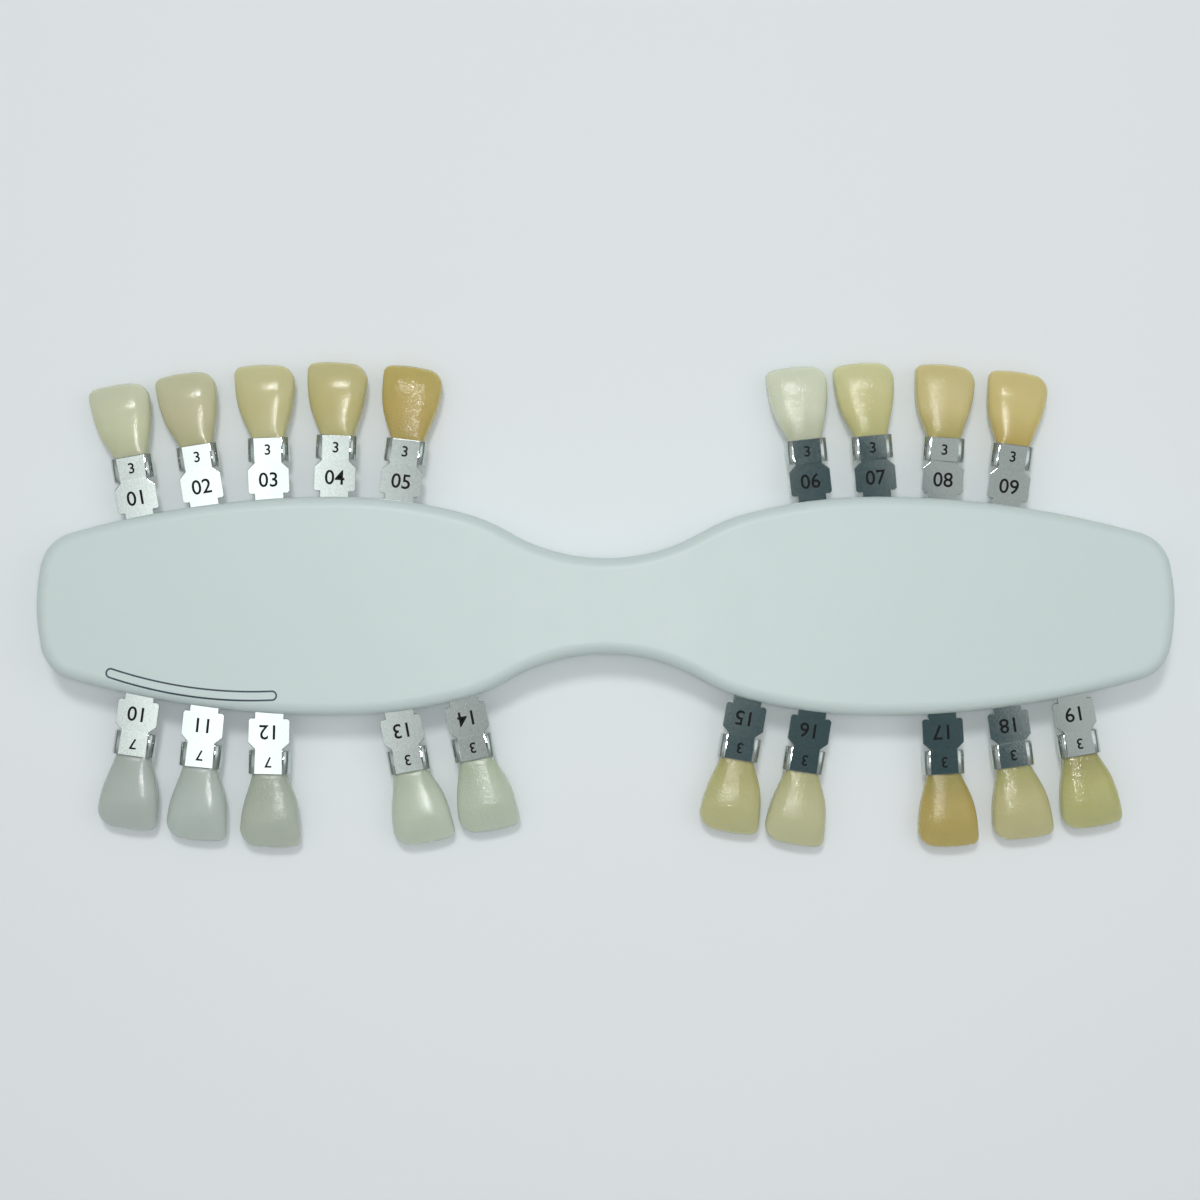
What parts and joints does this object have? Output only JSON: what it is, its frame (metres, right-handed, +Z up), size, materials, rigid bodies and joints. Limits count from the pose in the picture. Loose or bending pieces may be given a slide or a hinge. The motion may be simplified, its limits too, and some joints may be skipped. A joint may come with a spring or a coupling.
{
  "type": "dental shade guide",
  "caption": "Flat dumbbell-shaped plastic holder carrying rows of removable incisor-shaped shade samples, each in a stamped steel clip that slides out of its slot.",
  "frame": {"origin": "middle of the holder's flat underside", "axes": "+X along the holder, +Y towards the row of nine tabs, +Z up out of the holder's face"},
  "size_m": [0.16, 0.0693, 0.009],
  "materials": {
    "holder_shell": "satin moulded, pale grey-white",
    "clip_steel": "matt stamped stainless",
    "shade_01": "satin translucent composite",
    "shade_02": "satin translucent composite",
    "shade_03": "satin translucent composite",
    "shade_04": "satin translucent composite",
    "shade_05": "satin translucent composite",
    "shade_06": "satin translucent composite",
    "shade_07": "satin translucent composite",
    "shade_08": "satin translucent composite",
    "shade_09": "satin translucent composite",
    "shade_10": "satin translucent composite",
    "shade_11": "satin translucent composite",
    "shade_12": "satin translucent composite",
    "shade_13": "satin translucent composite",
    "shade_14": "satin translucent composite",
    "shade_15": "satin translucent composite",
    "shade_16": "satin translucent composite",
    "shade_17": "satin translucent composite",
    "shade_18": "satin translucent composite",
    "shade_19": "satin translucent composite"
  },
  "bodies": {
    "holder": {"upper_shell": "holder_shell", "lower_shell": "holder_shell"},
    "tab_01": {"clip_01": "clip_steel", "tooth_01": "shade_01"},
    "tab_02": {"clip_02": "clip_steel", "tooth_02": "shade_02"},
    "tab_03": {"clip_03": "clip_steel", "tooth_03": "shade_03"},
    "tab_04": {"clip_04": "clip_steel", "tooth_04": "shade_04"},
    "tab_05": {"clip_05": "clip_steel", "tooth_05": "shade_05"},
    "tab_06": {"clip_06": "clip_steel", "tooth_06": "shade_06"},
    "tab_07": {"clip_07": "clip_steel", "tooth_07": "shade_07"},
    "tab_08": {"clip_08": "clip_steel", "tooth_08": "shade_08"},
    "tab_09": {"clip_09": "clip_steel", "tooth_09": "shade_09"},
    "tab_10": {"clip_10": "clip_steel", "tooth_10": "shade_10"},
    "tab_11": {"clip_11": "clip_steel", "tooth_11": "shade_11"},
    "tab_12": {"clip_12": "clip_steel", "tooth_12": "shade_12"},
    "tab_13": {"clip_13": "clip_steel", "tooth_13": "shade_13"},
    "tab_14": {"clip_14": "clip_steel", "tooth_14": "shade_14"},
    "tab_15": {"clip_15": "clip_steel", "tooth_15": "shade_15"},
    "tab_16": {"clip_16": "clip_steel", "tooth_16": "shade_16"},
    "tab_17": {"clip_17": "clip_steel", "tooth_17": "shade_17"},
    "tab_18": {"clip_18": "clip_steel", "tooth_18": "shade_18"},
    "tab_19": {"clip_19": "clip_steel", "tooth_19": "shade_19"}
  },
  "joints": [
    {"name": "tab_01_pull", "type": "slide", "parent": "holder", "child": "tab_01", "axis": [-0.1736, 0.9848, 0], "range_m": [0, 0.007]},
    {"name": "tab_02_pull", "type": "slide", "parent": "holder", "child": "tab_02", "axis": [-0.1564, 0.9877, 0], "range_m": [0, 0.007]},
    {"name": "tab_03_pull", "type": "slide", "parent": "holder", "child": "tab_03", "axis": [-0.0366, 0.9993, 0], "range_m": [0, 0.007]},
    {"name": "tab_04_pull", "type": "slide", "parent": "holder", "child": "tab_04", "axis": [0.0349, 0.9994, 0], "range_m": [0, 0.007]},
    {"name": "tab_05_pull", "type": "slide", "parent": "holder", "child": "tab_05", "axis": [0.1253, 0.9921, 0], "range_m": [0, 0.007]},
    {"name": "tab_06_pull", "type": "slide", "parent": "holder", "child": "tab_06", "axis": [-0.108, 0.9942, 0], "range_m": [0, 0.007]},
    {"name": "tab_07_pull", "type": "slide", "parent": "holder", "child": "tab_07", "axis": [-0.0872, 0.9962, 0], "range_m": [0, 0.007]},
    {"name": "tab_08_pull", "type": "slide", "parent": "holder", "child": "tab_08", "axis": [0.0558, 0.9984, 0], "range_m": [0, 0.007]},
    {"name": "tab_09_pull", "type": "slide", "parent": "holder", "child": "tab_09", "axis": [0.1271, 0.9919, 0], "range_m": [0, 0.007]},
    {"name": "tab_10_pull", "type": "slide", "parent": "holder", "child": "tab_10", "axis": [-0.1392, -0.9903, 0], "range_m": [0, 0.007]},
    {"name": "tab_11_pull", "type": "slide", "parent": "holder", "child": "tab_11", "axis": [-0.1011, -0.9949, 0], "range_m": [0, 0.007]},
    {"name": "tab_12_pull", "type": "slide", "parent": "holder", "child": "tab_12", "axis": [-0.0227, -0.9997, 0], "range_m": [0, 0.007]},
    {"name": "tab_13_pull", "type": "slide", "parent": "holder", "child": "tab_13", "axis": [0.1822, -0.9833, 0], "range_m": [0, 0.007]},
    {"name": "tab_14_pull", "type": "slide", "parent": "holder", "child": "tab_14", "axis": [0.1908, -0.9816, 0], "range_m": [0, 0.007]},
    {"name": "tab_15_pull", "type": "slide", "parent": "holder", "child": "tab_15", "axis": [-0.165, -0.9863, 0], "range_m": [0, 0.007]},
    {"name": "tab_16_pull", "type": "slide", "parent": "holder", "child": "tab_16", "axis": [-0.1564, -0.9877, 0], "range_m": [0, 0.007]},
    {"name": "tab_17_pull", "type": "slide", "parent": "holder", "child": "tab_17", "axis": [0.0523, -0.9986, 0], "range_m": [0, 0.007]},
    {"name": "tab_18_pull", "type": "slide", "parent": "holder", "child": "tab_18", "axis": [0.1392, -0.9903, 0], "range_m": [0, 0.007]},
    {"name": "tab_19_pull", "type": "slide", "parent": "holder", "child": "tab_19", "axis": [0.1736, -0.9848, 0], "range_m": [0, 0.007]}
  ]
}
